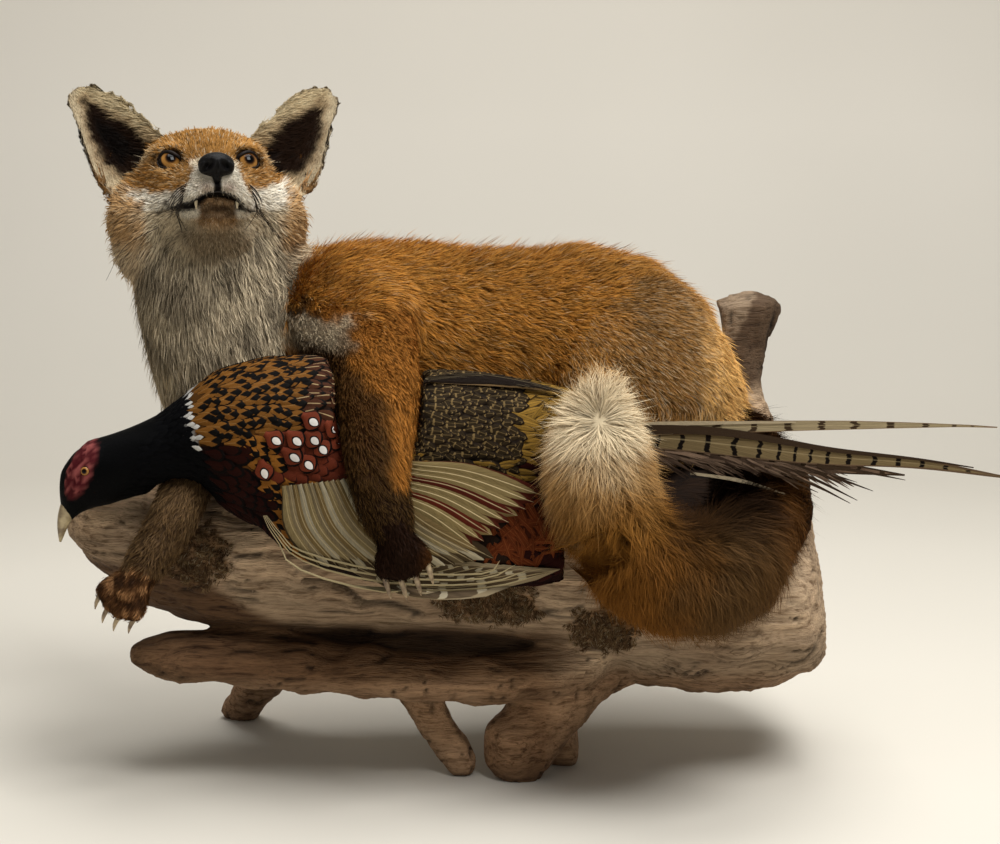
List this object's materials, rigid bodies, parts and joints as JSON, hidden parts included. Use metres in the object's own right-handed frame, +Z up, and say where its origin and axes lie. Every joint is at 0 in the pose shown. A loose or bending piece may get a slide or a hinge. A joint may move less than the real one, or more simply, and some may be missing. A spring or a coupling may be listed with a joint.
{
  "type": "taxidermy red fox on driftwood with pheasant",
  "caption": "Life-size museum mount of a red fox lying along a driftwood log, head raised, fore paw on a cock pheasant, brush curled round to the front.",
  "frame": {"origin": "middle of the bounding box's base, on the floor that the driftwood stands on", "axes": "+X along the log from the fox's head to its rump, +Y towards the side away from the tail and pheasant, +Z up"},
  "size_m": [0.6544, 0.332, 0.4898],
  "materials": {
    "fur": "rust-orange red-fox coat, grizzled over the rump",
    "fur_pale": "white-grey coat of throat, cheeks and brush tip",
    "fur_dark": "brown-black short fur of ears and feet",
    "glass_eye": "amber glass eye with a dark pupil",
    "nose_skin": "matte black nose leather",
    "tooth": "ivory tooth",
    "plumage": "coppery pheasant feathers with barred tail",
    "driftwood": "weathered grey-tan driftwood with cracks"
  },
  "bodies": {
    "root": {"head": "fur", "ear_left": "fur_dark", "ear_right": "fur_dark", "eye_left": "glass_eye", "eye_right": "glass_eye", "nose_pad": "nose_skin", "canine_left": "tooth", "canine_right": "tooth", "jaw": "fur_pale", "neck": "fur_pale", "trunk": "fur", "foreleg_left": "fur", "foreleg_right": "fur", "hindleg_left": "fur", "hindleg_right": "fur", "paw_fore_left": "fur_dark", "paw_fore_right": "fur_dark", "paw_hind_left": "fur_dark", "paw_hind_right": "fur_dark", "tail_root": "fur", "tail_middle": "fur", "tail_tip": "fur_pale", "pheasant": "plumage", "wood_log": "driftwood", "wood_branch": "driftwood", "wood_stub": "driftwood", "wood_leg_front": "driftwood", "wood_knob_foot": "driftwood", "wood_rear_foot": "driftwood", "wood_back_root": "driftwood", "wood_snag": "driftwood"}
  },
  "joints": []
}
